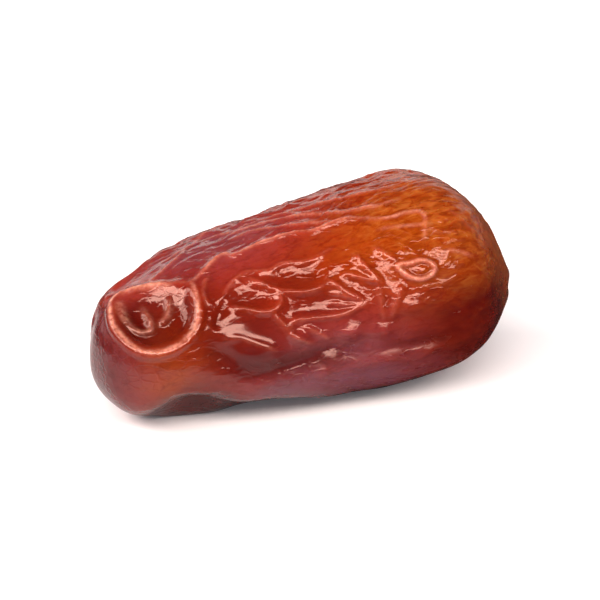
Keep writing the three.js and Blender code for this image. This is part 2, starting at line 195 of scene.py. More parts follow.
RIDGES = [
    # The closed rim near the tip, which is higher at the front, with the crumpled skin that lies in it.
    Ridge(0.3, 0.7, True, [*RIM, (8.0, 19), (6.8, 13), (5.6, 4)]),
    Ridge(0.5, 0.8, False, RIM, 1.0),
    Ridge(0.5, 0.5, False, [(2.6, -2), (2.2, 14), (2.3, 29), (3.0, 39), (3.9, 40), (4.1, 30), (4.0, 16)],
          0.75, 0.32),
    Ridge(0.2, 0.5, False, [(2.9, -16), (3.8, -8), (4.9, 1), (6.0, 8), (7.0, 15)], 0.75, 0.35),
    Ridge(0.4, 0.5, False, [(4.8, 38), (5.6, 35), (6.2, 28), (6.4, 20)], 0.6, 0.32),
    Ridge(0.35, 0.4, False, [(10.4, 23), (9.7, 27), (9.2, 33), (9.0, 42)]),
    # Long ridges that run along the top.
    Ridge(0.42, 0.42, False, [(8.7, 22), (10.5, 17), (12.6, 11), (13.5, 15), (15.9, 13), (18.8, 13),
                              (21.1, 17), (23.5, 16), (25.6, 21)], 0.6),
    Ridge(0.22, 0.4, False, [(25.0, 20), (27.1, 25), (28.9, 25), (30.2, 29), (29.3, 42)], 0.5),
    Ridge(0.2, 0.35, False, [(14.0, -10), (17.6, -10), (21.0, -4), (23.8, 8), (26.2, 13), (29.0, 14)], 0.5),
    Ridge(0.24, 0.35, False, [(8.4, -15), (12.3, -17), (16.0, -14), (19.9, -14), (23.3, -9), (26.5, -2),
                               (30.2, 0)], 0.4),
    Ridge(0.24, 0.35, False, [(14.6, -4), (17.2, -3), (19.7, 5), (21.6, 10), (23.2, 16)], 0.4),
    Ridge(0.24, 0.35, False, [(5.2, 3), (7.6, -3), (9.7, -9), (12.5, -22), (16.2, -30), (21.0, -27),
                               (25.5, -20)], 0.3),
    Ridge(0.22, 0.35, False, [(15.6, -24), (18.0, -19), (20.2, -13), (21.7, -5), (22.9, 1)]),
    # The net between them and the blister: dishes with thin rims that fork and meet.
    Ridge(0.28, 0.4, False, [(10.2, 42), (11.8, 34), (13.6, 30), (15.4, 34), (16.8, 32), (19.0, 35),
                             (21.4, 32)]),
    Ridge(0.45, 0.42, False, [(13.4, 34), (14.6, 42), (16.4, 49), (18.5, 52), (19.8, 50)]),
    Ridge(0.42, 0.42, False, [(11.0, 47), (11.9, 50), (13.2, 55), (14.4, 57), (15.2, 55), (15.5, 51),
                              (15.4, 42)]),
    Ridge(0.36, 0.4, False, [(14.4, 57), (15.1, 65), (15.7, 71)]),
    Ridge(0.36, 0.4, False, [(15.9, 71), (16.1, 66), (17.6, 66), (20.2, 68), (21.9, 67), (23.0, 65)]),
    Ridge(0.36, 0.35, False, [(20.0, 48), (21.1, 56), (22.7, 64)]),
    Ridge(0.3, 0.3, False, [(20.0, 55), (21.4, 60), (22.7, 64)]),
    Ridge(0.26, 0.3, False, [(19.8, 61), (21.2, 64), (22.6, 65)]),
    Ridge(0.32, 0.35, False, [(15.2, 69), (16.4, 76), (17.8, 81)]),
    Ridge(0.28, 0.35, False, [(16.9, 69), (18.2, 75), (19.4, 81)]),
    # The ledge across the blister.
    Ridge(0.17, 0.45, False, [(9.8, 64), (11.0, 66), (12.2, 71), (13.4, 76), (14.4, 80)]),
    # The eye-shaped loop and the short ridges round it.
    Ridge(0.42, 0.4, False, [(22.9, 39), (23.4, 47), (24.5, 58)]),
    Ridge(0.34, 0.35, False, [(21.7, 48), (23.3, 54), (24.5, 58)]),
    Ridge(0.4, 0.3, True, [(26.1, 52), (27.2, 52.5), (28.3, 52.5), (29.2, 55.5), (29.3, 59), (28.7, 61),
                           (27.7, 61), (26.8, 58)], 0.9),
    Ridge(0.3, 0.4, False, [(24.7, 39), (26.2, 50)]),
    Ridge(0.3, 0.35, False, [(24.1, 58), (24.1, 66), (24.2, 76)]),
    Ridge(0.34, 0.5, False, [(26.2, 61), (25.5, 68), (24.8, 76)]),
    # Soft folds on the smooth shoulder before the stem end.
    Ridge(0.12, 0.9, False, [(31.2, 78), (31.9, 90), (32.7, 105)], 0.0),
    Ridge(0.14, 0.35, False, [(25.8, 30), (28.4, 33), (30.4, 36)], 0.3),
    Ridge(0.12, 0.35, False, [(32.4, 29), (33.2, 36), (34.0, 44)]),
    Ridge(0.2, 0.4, False, [(30.8, 51), (32.0, 54), (33.3, 58)], 0.25),
]

GROOVES = [
    # The deep fold under the blister, and a shallower one that goes on from it.
    Groove(0.45, 1.1, [(7.6, 58), (8.4, 68), (9.9, 78), (12.4, 89), (15.4, 93), (18.2, 89), (20.6, 87),
                       (25.0, 88)]),
    Groove(0.3, 0.6, [(23.4, 93), (27.6, 96), (31.6, 103)]),
    Groove(0.25, 0.5, [(8.9, 56), (9.9, 50), (10.8, 42)]),
    # The hollow under the front edge of the belly, where the sagging flesh hangs clear of the table.
    Groove(0.7, 1.6, [(8, 146), (14, 150), (20, 148), (27, 142), (36, 132)]),
]

SWELLINGS = [
    # The smooth blister at the front, and the roll below it.
    Swelling(0.4, 2.6, 1.5, (12.8, 84)),
    Swelling(0.2, 5.0, 2.0, (16.8, 108)),
    # The dish inside the rim, and the dishes of the net.
    Swelling(-1.15, 3.3, 2.7, (4.6, 34), 2.6),
    Swelling(-0.35, 2.2, 1.3, (17.4, 43)),
    Swelling(-0.25, 2.0, 1.2, (12.9, 46)),
    Swelling(-0.3, 2.2, 1.2, (18.6, 60)),
    # Small raised blobs.
    Swelling(0.3, 0.9, 0.5, (16.6, 75)),
    Swelling(0.38, 1.1, 0.7, (21.2, 79)),
    Swelling(0.38, 1.1, 0.7, (24.0, 82)),
    Swelling(0.34, 1.3, 0.65, (26.9, 73)),
    Swelling(0.36, 0.9, 0.6, (19.4, 92)),
    Swelling(0.25, 0.8, 0.5, (28.2, 57)),
    # The arch between the foot at the tip and the belly, and its shallow end under the belly.
    Swelling(-2.7, 3.6, 3.6, (7.2, 134)),
    Swelling(-0.8, 4.5, 1.8, (13.5, 138)),
    # The flat above the stem end.
    Swelling(-0.8, 2.0, 3.0, (40.6, 8)),
]
print(len(RIDGES), "ridges,", len(GROOVES), "grooves,", len(SWELLINGS), "swellings")

# %% [markdown]
# ## From a route to a height
#
# A crest is a narrow hump on a broader tent of skin, because drying skin is pulled up to both sides of a
# ridge. Each route becomes a smooth curve in space, cut into short straight pieces, and a point's height
# depends on its distance to the nearest piece. Where crests meet, their cubes are added, so that they join at
# one height instead of piling up. The two with the strongest pale line, the rim and the loop, are flat on
# top.

# %% Crests
ROUTE_STEPS = 6
CREST_SHARE = 0.7
CREST_NARROWING = 0.8
ROUND_TOP = 2
FLAT_TOP = 4
FLAT_TOP_FROM = 0.8


def ramp(value, low, high):
    """0 below one value, 1 above the other, and an even rise between them."""
    share = np.clip((value - low) / (high - low), 0, 1)
    return share * share * (3 - 2 * share)


def curve_through(route, closed=False):
    """A route as the points of a smooth curve in space."""
    stops = np.array([place_on_skin(*place) for place in route])
    if closed:
        stops = np.vstack([stops[-1], stops, stops[0], stops[1]])
    else:
        stops = np.vstack([2 * stops[0] - stops[1], stops, 2 * stops[-1] - stops[-2]])
    share = np.linspace(0, 1, ROUTE_STEPS, endpoint=False)[:, None]
    points = []
    for before, start, end, after in zip(stops, stops[1:], stops[2:], stops[3:]):
        bend = 2 * before - 5 * start + 4 * end - after
        twist = 3 * (start - end) + after - before
        points.append(start + 0.5 * share * (end - before + share * (bend + share * twist)))
    return np.vstack([*points, stops[-2]])


def distance_to(line, points):
    """How far each point is from a line, and how far along the line it is, from 0 to 1."""
    nearest = np.full(len(points), np.inf)
    share_along = np.zeros(len(points))
    for k, (start, end) in enumerate(zip(line, line[1:])):
        piece = end - start
        share = np.clip((points - start) @ piece / (piece @ piece + 1e-12), 0, 1)
        distance = np.linalg.norm(points - start - share[:, None] * piece, axis=1)
        closer = distance < nearest
        nearest[closer] = distance[closer]
        share_along[closer] = (k + share[closer]) / (len(line) - 1)
    return nearest, share_along


def crest(distance, half_width, sharp=0.6, power=ROUND_TOP):
    """Section of a wrinkle: a crest on a broader tent of skin. A higher power gives it a flatter top."""
    tent = np.exp(-(distance / (2.6 * half_width)) ** 2)
    return sharp * np.exp(-(distance / half_width) ** power) + (1 - sharp) * tent


def ridge_heights(points):
    """Height of the named ridges, and the strength of the painted highlight along each crest, from 0 to 1.

    An open ridge runs out at both ends."""
    total = np.zeros(len(points))
    painted_highlight = np.zeros(len(points))
    for ridge in RIDGES:
        distance, share = distance_to(curve_through(ridge.route, ridge.closed), points)
        fade = 1 if ridge.closed else np.minimum(ramp(share, -0.15, 0.2), ramp(1 - share, -0.15, 0.2))
        top = FLAT_TOP if ridge.pale > FLAT_TOP_FROM else ROUND_TOP
        section = crest(distance, CREST_NARROWING * ridge.half_width, CREST_SHARE, top)
        total += (ridge.height * fade * section) ** 3
        # The pale line along the crest is a painted highlight.
        painted_highlight = np.maximum(painted_highlight, ridge.pale * fade * np.exp(-(distance / ridge.line) ** 2))
    return np.cbrt(total), painted_highlight


def groove_depths(points):
    """Depth of the grooves."""
    total = np.zeros(len(points))
    for groove in GROOVES:
        distance, share = distance_to(curve_through(groove.route), points)
        fade = np.minimum(ramp(share, -0.05, 0.25), ramp(1 - share, -0.05, 0.25))
        total += groove.depth * fade * np.exp(-(distance / groove.half_width) ** 2)
    return total


def patch(points, half_length, half_width, place, power):
    """A soft-edged patch on the skin: 1 at its middle and 0 well outside it."""
    offset = points - place_on_skin(*place)
    reach = (offset[:, 0] / half_length) ** 2 + (np.hypot(offset[:, 1], offset[:, 2]) / half_width) ** 2
    return np.exp(-reach ** power)


def swelling_heights(points):
    """Height of the swellings, which is below 0 in a dish."""
    return sum(s.height * patch(points, s.half_length, s.half_width, s.place, s.steepness) for s in SWELLINGS)


rim_steps = np.diff(curve_through(RIM), axis=0)
print("length of the rim in mm:", round(float(np.linalg.norm(rim_steps, axis=1).sum()), 1))


# %% [markdown]
# ## The net of wrinkles
#
# The flanks and the back have wrinkles too, which no picture shows one by one. Drying mud and drying skin
# break up in the same way, into cells of about the same size, so the net is made of the borders between cells
# whose middles are spread evenly over the body. The cells are stretched along the fruit, as its fibres are. A
# slow waver of space makes the borders wander. A second, much finer net crinkles the skin between the big
# wrinkles. The random numbers are seeded, so the date is the same each time.

# %% Nets
GOLDEN_ANGLE = math.pi * (3 - math.sqrt(5))
Net = namedtuple("Net", "cells seed stretch height half_width")
WRINKLE_NET = Net(120, 7, 2.4, 0.6, 0.5)
CRINKLE_NET = Net(460, 11, 2.0, 0.06, 0.22)
NET_SCATTER = 2.2
NET_WANDER = 0.55


def random_numbers(seed):
    """Seeded random numbers from 0 to 1."""
    state = seed
    while True:
        state = state * 16807 % 2147483647
        yield state / 2147483647


def wander(points):
    """A slow waver of space."""
    x, y, z = points.T
    shift = np.stack([
        1.5 * np.sin(0.9 * y + 0.5 * z + 1.0),
        np.sin(0.55 * x + 0.7 * z + 2.0) + 0.5 * np.sin(1.3 * x - 0.9 * y),
        np.sin(0.6 * x - 0.8 * y + 4.0) + 0.5 * np.sin(1.2 * x + 1.1 * z + 1.7),
    ], -1)
    return points + NET_WANDER * shift


def net_crests(points, net):
    """The crests on the borders between a net's cells, from 0 to 1."""
    draw = random_numbers(net.seed)
    moved = wander(points)
    first = np.full(len(points), np.inf)
    second = np.full(len(points), np.inf)
    for k in range(net.cells):
        along = math.acos(1 - 2 * (k + 0.5) / net.cells) / math.pi
        middle = smooth_body(np.array(0.02 + 0.96 * along), np.array(GOLDEN_ANGLE * k + 1.4 * next(draw)))
        middle[0] += NET_SCATTER * (next(draw) - 0.5)
        offset = moved - middle
        offset[:, 0] /= net.stretch
        distance = np.linalg.norm(offset, axis=1)
        second = np.minimum(second, np.maximum(first, distance))
        first = np.minimum(first, distance)
    return crest((second - first) / 2, net.half_width)


def net_strength(along, around):
    """How strong each net is at a place: little on the belly and at both ends of the front.

    The first value is for the big net, which also leaves room for the front's own ridges."""
    belly = ramp(around, 92, 112) * (1 - ramp(around, 215, 235))
    facing = ramp(around, 20, 50) * (1 - ramp(around, 200, 240))
    tip = ramp(along, 0.5, 3 + 6 * facing)
    shoulder = 1 - ramp(along, 32, 38) * (0.4 + 0.45 * facing)
    signed = (around + 180) % 360 - 180
    front = ramp(signed, -30, -15) * (1 - ramp(signed, 92, 104))
    drawn = front * ramp(along, 0, 3) * (1 - ramp(along, 36, 40))
    return tip * shoulder * (1 - 0.9 * belly) * (1 - 0.85 * drawn), tip * shoulder * (1 - 0.75 * belly)


print(WRINKLE_NET.cells, "cells in the big net,", CRINKLE_NET.cells, "in the small one")


# %% [markdown]
# Between the nets' wrinkles the skin is finely drawn, most of all on top. These small wrinkles run with the
# fibres. They are the thin crests of a noise that folds back on itself, stretched along the fruit. The
# blister's skin is stretched smooth, so neither they nor the nets cross it.

# %% Fine wrinkles
FINE_HEIGHT = 0.15
FINE_SCALE = (0.30, 0.80, 0.80)
Smooth = namedtuple("Smooth", "half_length half_width place steepness")
BLISTER = Smooth(3.0, 2.3, (11.8, 70), 2.0)


def fine_crests(points):
    """Crests of the small lengthwise wrinkles, from 0 to 1."""
    folded = [ridged_multi_fractal(Vector(p), 1.0, 2.0, 3, 1.0, 2.0) for p in wander(points) * FINE_SCALE]
    return np.clip(np.array(folded) / 2.2, 0, 1)


def fine_strength(along, around):
    """Where the small wrinkles are strong: on top and on the upper back, and hardly on the foot and belly."""
    signed = (around + 180) % 360 - 180
    upper = ramp(signed, -150, -100) * (1 - ramp(signed, 48, 66))
    top = ramp(signed, -70, -40) * (1 - ramp(signed, 5, 30))
    return (0.1 + 0.9 * upper + 0.6 * top) * ramp(along, 6, 11) * (1 - 0.6 * ramp(along, 34, 40))


print("kept smooth round", BLISTER.place, "in mm along and degrees round")


# %% [markdown]
# ## The stem end
#
# The stem's cap has come off. What is left is a dimple with the fibrous stub of the stem in it, and folds
# that run in to it from all round, because the skin there could not shrink. A wave round the end makes the
# folds, and it fades out near the stub, where they would run together, and on the shoulder.

# %% Stem end
DIMPLE_DEPTH = 1.0
DIMPLE_RADIUS = 2.4
STUB_HEIGHT = 0.5
STUB_RADIUS = 0.9
STEM_FOLDS = 9
STEM_FOLD_HEIGHT = 0.14
SCAR = smooth_body(np.array(1.0), np.array(0.0))


def stem_end(distance, angle):
    """Height of the dimple, the stub and the folds, by the distance to the scar."""
    folds = ramp(distance, 0.8, 2.2) * (1 - ramp(distance, 3, 7))
    wave = np.cos(STEM_FOLDS * angle + 1.2 * np.sin(2 * angle) + 0.8 * np.sin(angle))
    dimple = -DIMPLE_DEPTH * np.exp(-(distance / DIMPLE_RADIUS) ** 2)
    stub = STUB_HEIGHT * np.exp(-(distance / STUB_RADIUS) ** 4)
    return STEM_FOLD_HEIGHT * folds * wave + dimple + stub


print("scar of the stem at, in mm:", SCAR.round(1))


# %% [markdown]
# ## The fine skin
#
# A sphere from the menu has poles where its faces shrink to slivers, and they would show at the tip. So the
# skin starts as a cube, is subdivided seven times, and is cast to a sphere, which gives nearly even squares
# all over.

# %% Cast a cube to a ball
SKIN_LEVELS = 7

bpy.ops.object.select_all(action="DESELECT")
bpy.ops.mesh.primitive_cube_add(size=2)
skin = bpy.context.object
skin.name = "date_skin_fine"
squares = skin.modifiers.new("squares", "SUBSURF")
squares.levels = squares.render_levels = SKIN_LEVELS
ball = skin.modifiers.new("ball", "CAST")
ball.cast_type = "SPHERE"
ball.factor = 1
for modifier in ("squares", "ball"):
    bpy.ops.object.modifier_apply(modifier=modifier)
count = len(skin.data.vertices)
print(count, "vertices,", 2 * len(skin.data.polygons), "triangles")

# %% [markdown]
# Each vertex of the ball gives a direction, the direction gives a place on the body, and the vertex moves out
# from there by the height of the relief. Where the weight presses the fruit on the table, it is flat.

# %% Shape the fine skin
flat_list = np.empty(count * 3)
skin.data.vertices.foreach_get("co", flat_list)
direction = flat_list.reshape(-1, 3)
direction /= np.linalg.norm(direction, axis=1, keepdims=True)
along = np.arccos(np.clip(-direction[:, 0], -1, 1)) / np.pi
angle = np.arctan2(-direction[:, 1], direction[:, 2])
body = smooth_body(along, angle)
mm_along = body[:, 0] + LENGTH / 2
around = np.degrees(angle) % 360

big_net, small_net = net_strength(mm_along, around)
smooth = 1 - patch(body, *BLISTER)
ridges, painted_highlight = ridge_heights(body)
net = WRINKLE_NET.height * smooth * big_net * net_crests(body, WRINKLE_NET)
wrinkles = np.cbrt(ridges ** 3 + net ** 3)
crinkles = CRINKLE_NET.height * smooth * small_net * net_crests(body, CRINKLE_NET)
fine = FINE_HEIGHT * smooth * fine_strength(mm_along, around) * fine_crests(body)
furrows = groove_depths(body)
swells = swelling_heights(body)
to_scar = np.linalg.norm(body - SCAR, axis=1)
height = wrinkles + crinkles + fine - furrows + swells + stem_end(to_scar, angle)

points = body + outward(along, angle) * height[:, None]
points[:, 2] = np.maximum(points[:, 2], 0)
points -= MIDDLE
skin.data.vertices.foreach_set("co", (points * MM).ravel())
skin.data.update()
bpy.ops.object.shade_smooth()
print("relief in mm: from", round(float(height.min()), 2), "to", round(float(height.max()), 2))
print("fine wrinkles in mm: up to", round(float(fine.max()), 2))

# %% [markdown]
# The fine skin has to be the CAD solid's own shape, only finer. A search tree over the solid's faces gives
# the distance from any point to the solid, so a sample of the skin's vertices is measured.

# %% Measure the skin against the solid
SAMPLE_STEP = 23

solid = BVHTree.FromObject(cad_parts["date_fruit"], bpy.context.evaluated_depsgraph_get())
gaps = [solid.find_nearest(Vector(p * MM))[3] / MM for p in points[::SAMPLE_STEP]]
print("distance to the solid in mm: mean", round(float(np.mean(gaps)), 3), "largest", round(max(gaps), 3))

# %% [markdown]
# ## Where the colours lie
#
# The skin is a thin brown film over flesh the colour of honey. Where the flesh is soft and the skin thin,
# amber shows through: at the stem end, along the top of it and on the foot near the tip. At the stem end the
# amber is also made lighter, as painted light, because that end faces away from the lamps. The belly and the
# top of the tip are mauve: partly a bloom on the skin, and partly a painted reflection of the white sheet and
# a painted sheen. The blister, the lower right and the hollow under the belly are deep red: partly the
# flesh's own colour, and partly painted shade in the fold under the blister, the dish of the rim, the lower
# right and under the belly. Noise alone would scatter these at random. They are soft patches at known places,
# stored on the mesh as attributes, and the material breaks up their edges with noise. Two more kinds of patch
# go with
# them: gold, for the paler fibres in the amber, for a painted sheen on the top edge and for painted light on
# the shoulder, and dull, where the syrup is thin. The relief is stored too, so that the material can make a
# crest lighter, which is painted light, paint a highlight along it, and darken dishes, grooves and the hollow
# under the belly with painted shade.

# %% Store the patches and the relief on the mesh
Tint = namedtuple("Tint", "strength half_length half_width place")

TINTS = {
    # Amber: the flesh showing through; at the stem end it is also made lighter, as painted light, because
    # that end faces away from the lamps.
    "amber_and_painted_light": [
        Tint(1.0, 8.0, 8.5, (36, 62)),
        Tint(0.9, 5.0, 5.0, (38, 64)),
        Tint(0.7, 7.0, 5.0, (29, 28)),
        Tint(0.3, 5.0, 3.5, (21, 36)),
        Tint(0.8, 6.0, 5.0, (4, 84)),
        Tint(0.7, 9.0, 6.0, (33, 280)),
        Tint(0.5, 6.0, 5.0, (12, 262)),
    ],
    # Mauve: partly a bloom on the skin, and partly a painted reflection of the white sheet along the belly
    # and a painted sheen at the top of the tip.
    "mauve_bloom_and_painted_reflection": [
        Tint(1.0, 11.0, 4.5, (21, 112)),
        Tint(0.7, 3.0, 7.0, (0, 0)),
        Tint(0.7, 9.0, 5.0, (12, 346)),
        Tint(0.7, 12.0, 6.0, (22, 180)),
        Tint(0.5, 9.0, 4.5, (22, 236)),
    ],
    # Gold: paler fibres in the amber, and a painted sheen on the top edge and painted light on the shoulder.
    "gold_fibres_and_painted_sheen": [
        Tint(1.0, 7.0, 8.0, (35, 40)),
        Tint(0.5, 8.0, 6.0, (34, -5)),
        Tint(0.5, 4.0, 4.0, (36, 66)),
        Tint(0.5, 6.0, 4.0, (28, 22)),
    ],
    "dull": [
        Tint(0.8, 6.0, 8.0, (38, 50)),
        Tint(0.4, 10.0, 6.0, (30, 15)),
        Tint(0.8, 13.0, 4.2, (24, 114)),
    ],
    # Deep red: partly the flesh's own colour, and partly painted shade in the fold under the blister, the
    # dish of the rim, the lower right and the hollow under the belly.
    "deep": [
        Tint(0.6, 4.0, 3.6, (13, 76)),
        Tint(0.35, 3.5, 1.2, (11.5, 87)),
        Tint(0.7, 4.5, 1.1, (18, 91)),
        Tint(1.3, 7.5, 4.2, (34, 98)),
        Tint(0.9, 2.6, 6.0, (0, 48)),
        Tint(0.9, 1.2, 2.4, (2.6, 28)),
        Tint(0.5, 5.0, 4.0, (9, 50)),
        Tint(0.6, 7.0, 5.0, (24, 300)),
        Tint(1.1, 7.0, 2.4, (11, 148)),
        Tint(0.8, 10.0, 1.8, (24, 140)),
    ],
}


def store(name, values):
    """Keeps one number for each vertex of the skin under a name that the material can read."""
    skin.data.attributes.new(name, "FLOAT", "POINT").data.foreach_set("value", values.astype(np.float32))
    print(f"{name}: mean {values.mean():.3f}, highest {values.max():.3f}")


for name, tints in TINTS.items():
    store(name, np.clip(sum(t.strength * patch(body, *t[1:], 1.0) for t in tints), 0, 1))
# crest: lighter crests, which is painted light.
store("crest", np.clip((wrinkles + crinkles) / 0.6, 0, 1))
# The pale line along the crests: a painted highlight.
store("painted_highlight", np.clip(painted_highlight, 0, 1))
# dish: dishes, grooves and the hollow under the belly, darkened as painted shade.
store("dish", np.clip((furrows - np.minimum(swells, 0)) / 0.6, 0, 1))
store("crinkled", smooth)
store("scar", np.exp(-(to_scar / 1.35) ** 4))
store("scar_ring", np.exp(-((to_scar - 2.3) / 0.7) ** 2))

# %% [markdown]
# ## The material, one layer at a time
#
# The skin's finish is one Principled material. Its colour, gloss and fine relief are each built from a few
# nodes. Two small helpers keep that readable: one adds a node with its settings, and the other mixes two
# colours by a mask.

# %% Node helpers
SCREEN_GAMMA = 2.2


def linear(red, green, blue):
    """A colour as picked on a screen, from 0 to 255, turned into the linear values that shaders use."""
    return tuple((c / 255) ** SCREEN_GAMMA for c in (red, green, blue)) + (1.0,)


class Wiring:
    """Adds nodes to one node tree and links them."""

    def __init__(self, tree):
        self.tree = tree
        tree.nodes.clear()

    def add(self, kind, settings=None, **inputs):
        node = self.tree.nodes.new(kind)
        for name, value in (settings or {}).items():
            setattr(node, name, value)
        for name, value in inputs.items():
            self.feed(node.inputs[name.replace("_", " ")], value)
        return node

    def feed(self, socket, value):
        if isinstance(value, bpy.types.NodeSocket):
            self.tree.links.new(value, socket)
        else:
            socket.default_value = value

    def attribute(self, name):
        return self.add("ShaderNodeAttribute", {"attribute_name": name}).outputs["Fac"]

    def length(self, vector):
        return self.add("ShaderNodeVectorMath", {"operation": "LENGTH"}, Vector=vector).outputs["Value"]

    def math(self, operation, first, second=0.0, clamp=False):
        node = self.add("ShaderNodeMath", {"operation": operation, "use_clamp": clamp})
        self.feed(node.inputs[0], first)
        self.feed(node.inputs[1], second)
        return node.outputs[0]

    def mix(self, mask, under, over, blend="MIX"):
        node = self.add("ShaderNodeMix", {"data_type": "RGBA", "blend_type": blend})
        self.feed(node.inputs[0], mask)
        self.feed(node.inputs[6], under)
        self.feed(node.inputs[7], over)
        return node.outputs[2]

    def remap(self, value, low, high, to_low=0.0, to_high=1.0):
        node = self.add("ShaderNodeMapRange", {"interpolation_type": "SMOOTHSTEP"})
        for socket, setting in zip(node.inputs, (value, low, high, to_low, to_high)):
            self.feed(socket, setting)
        return node.outputs[0]


print("a middle grey is linear", round(linear(128, 128, 128)[0], 3))


# %% [markdown]
# Noise comes at three scales. Textures count in scene units, so the coordinates are first scaled to
# millimetres, and a second copy is squeezed along the fruit, so that what it feeds runs lengthwise, as the
# fibres of the flesh do.

# %% Skin material: noise
# Some of these colours are painted light: the crest orange is painted light, the pale pink of the lines on
# the crests a painted highlight and the darkest red of the dishes painted shade. The deep red is partly
# painted shade, the mauve partly a painted reflection, the gold partly a painted sheen and the amber partly
# painted light.
SKIN_COLOURS = {
    "red": linear(113, 25, 7),
    "bright_red": linear(134, 36, 8),
    "amber_and_painted_light": linear(134, 56, 2),
    "gold_fibres_and_painted_sheen": linear(186, 112, 50),
    "mauve_bloom_and_painted_reflection": linear(108, 63, 74),
    "deep": linear(74, 10, 4),
    "crest": linear(136, 44, 14),
    "painted_highlight": linear(240, 170, 146),
    "dish": linear(66, 10, 6),
    "scar": linear(50, 28, 18),
    "scar_ring": linear(160, 90, 36),
}

material = bpy.data.materials.new("date_skin")
material.use_nodes = True
wiring = Wiring(material.node_tree)
position = wiring.add("ShaderNodeTexCoord").outputs["Object"]
in_mm = wiring.add("ShaderNodeMapping", Vector=position, Scale=(1000, 1000, 1000)).outputs[0]
lengthwise = wiring.add("ShaderNodeMapping", Vector=position, Scale=(380, 1000, 1000)).outputs[0]


def noise(vector, scale, detail=3.0, roughness=0.55, distortion=0.0):
    return wiring.add("ShaderNodeTexNoise", Vector=vector, Scale=scale, Detail=detail, Roughness=roughness,
                      Distortion=distortion).outputs["Fac"]


blotches = noise(in_mm, 0.22, 4.0)
streaks = noise(lengthwise, 0.75, 4.0, 0.6, 0.4)
grain = noise(in_mm, 2.6, 4.0, 0.6)
fibres = noise(lengthwise, 1.7, 4.0, 0.6, 0.8)
breaks = noise(in_mm, 0.8, 2.0)
print("skin material so far:", len(material.node_tree.nodes), "nodes")

# %% [markdown]
# The colour starts as two reds, blotched. The patches go over it, with their edges moved by the noise, then
# the lighter crests, which are painted light, the pale lines along them, which are painted highlights, the
# darker dishes and grooves, which are painted shade, and last the scar.

# %% Skin material: colour
LAYER_STRENGTH = {"crest": 0.45, "painted_highlight": 0.42, "dish": 0.55, "scar_ring": 0.5}


def layer(name):
    """The mask of one layer of colour, at its strength."""
    return wiring.math("MULTIPLY", wiring.attribute(name), LAYER_STRENGTH[name])


def broken(mask, noise_value, amount=0.7):
    """A mask whose strength wavers with a noise."""
    waver = wiring.math("MULTIPLY", wiring.math("SUBTRACT", noise_value, 0.5), 2 * amount)
    return wiring.math("MULTIPLY", mask, wiring.math("ADD", waver, 1.0), clamp=True)


colour = wiring.mix(wiring.remap(blotches, 0.35, 0.65), SKIN_COLOURS["red"], SKIN_COLOURS["bright_red"])
# The flesh's amber, made lighter at the stem end as painted light.
colour = wiring.mix(broken(wiring.attribute("amber_and_painted_light"), streaks, 1.0), colour, SKIN_COLOURS["amber_and_painted_light"])
# Paler fibres, and partly a painted sheen and painted light.
gold_and_painted_sheen_mask = wiring.math("MULTIPLY", wiring.attribute("gold_fibres_and_painted_sheen"), wiring.remap(fibres, 0.4, 0.8, 0.0, 0.55))
colour = wiring.mix(gold_and_painted_sheen_mask, colour, SKIN_COLOURS["gold_fibres_and_painted_sheen"])
# Partly a bloom, and partly a painted reflection and sheen.
colour = wiring.mix(broken(wiring.attribute("mauve_bloom_and_painted_reflection"), blotches), colour, SKIN_COLOURS["mauve_bloom_and_painted_reflection"])
# Partly the flesh's deep red, and partly painted shade.
colour = wiring.mix(broken(wiring.attribute("deep"), streaks, 0.4), colour, SKIN_COLOURS["deep"])
colour = wiring.mix(wiring.remap(fibres, 0.3, 0.52, 0.4, 0.0), colour, SKIN_COLOURS["deep"])
# Painted light: the crests made lighter.
colour = wiring.mix(broken(layer("crest"), grain), colour, SKIN_COLOURS["crest"])
# Painted highlight: the pale pink line along the crests.
painted_highlight_mask = broken(broken(layer("painted_highlight"), grain, 1.6), breaks, 1.3)
colour = wiring.mix(painted_highlight_mask, colour, SKIN_COLOURS["painted_highlight"])
# Painted shade: darker dishes, grooves and hollows.
colour = wiring.mix(broken(layer("dish"), blotches, 0.4), colour, SKIN_COLOURS["dish"])
colour = wiring.mix(layer("scar_ring"), colour, SKIN_COLOURS["scar_ring"])
colour = wiring.mix(broken(wiring.attribute("scar"), grain, 0.3), colour, SKIN_COLOURS["scar"])
print("skin material so far:", len(material.node_tree.nodes), "nodes")

# %% [markdown]
# The gloss is a film of syrup on a duller skin. It is thick and smooth on most of the front, and thin at the
# stem end and along the belly, so the roughness follows the dull patches and streaks of noise. The fine
# relief is a crinkle too small for the mesh, made of stretched cells, which the smooth blister lacks, and a
# faint grain.

# %% Skin material: gloss and fine relief
DULL_SHARE = 0.8
COAT_WEIGHT = 0.3
MIRROR_ROUGHNESS = 0.11
DULL_ROUGHNESS = 0.34
COAT_ROUGHNESS = 0.06
CRINKLE_DEPTH = 0.03 * MM
GRAIN_DEPTH = 0.006 * MM

dullness = wiring.math("MULTIPLY", wiring.attribute("dull"), DULL_SHARE)
dullness = wiring.math("ADD", dullness, wiring.remap(streaks, 0.4, 0.75, 0.0, 0.5), clamp=True)
dullness = wiring.math("ADD", dullness, wiring.attribute("scar"), clamp=True)
roughness = wiring.remap(dullness, 0.0, 1.0, MIRROR_ROUGHNESS, DULL_ROUGHNESS)
coat = wiring.remap(dullness, 0.0, 0.9, COAT_WEIGHT, 0.0)

